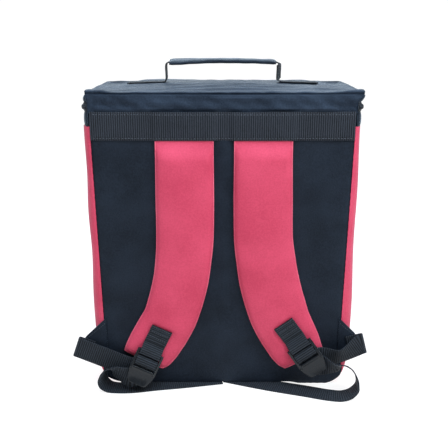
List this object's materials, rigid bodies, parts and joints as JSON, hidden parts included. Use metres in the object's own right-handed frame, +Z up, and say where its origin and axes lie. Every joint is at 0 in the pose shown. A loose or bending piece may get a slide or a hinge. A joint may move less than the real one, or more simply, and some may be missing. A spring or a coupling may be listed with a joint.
{
  "type": "insulated cooler backpack",
  "caption": "Box-shaped soft insulated backpack with a zipped padded lid, a carrying handle and padded shoulder straps with adjusters.",
  "frame": {"origin": "on the floor, under the middle of the bag's base", "axes": "+Z up; the wearer's side with the shoulder straps faces -Y; +X to the right when looking at that side"},
  "size_m": [0.4277, 0.2597, 0.4657],
  "materials": {
    "black_cloth": "plain woven polyester",
    "red_cloth": "plain woven polyester",
    "webbing": "ribbed webbing",
    "black_plastic": "satin moulded plastic"
  },
  "bodies": {
    "root": {"side_panel_left": "red_cloth", "side_panel_right": "red_cloth", "front_panel": "red_cloth", "back_panel": "black_cloth", "base_panel": "black_cloth", "rim_band": "black_cloth", "zip_tape": "webbing", "lid_skirt": "black_cloth", "zip_slider_left": "black_plastic", "zip_slider_right": "black_plastic", "lid_panel": "black_cloth", "hinge_panel": "black_cloth", "back_webbing": "webbing", "shoulder_strap_left": "red_cloth", "shoulder_strap_right": "red_cloth", "buckle_left": "black_plastic", "buckle_loop_left": "webbing", "adjuster_left": "webbing", "buckle_right": "black_plastic", "buckle_loop_right": "webbing", "adjuster_right": "webbing", "wing_left": "black_cloth", "wing_right": "black_cloth", "handle_webbing": "webbing", "handle_grip": "black_cloth"}
  },
  "joints": []
}
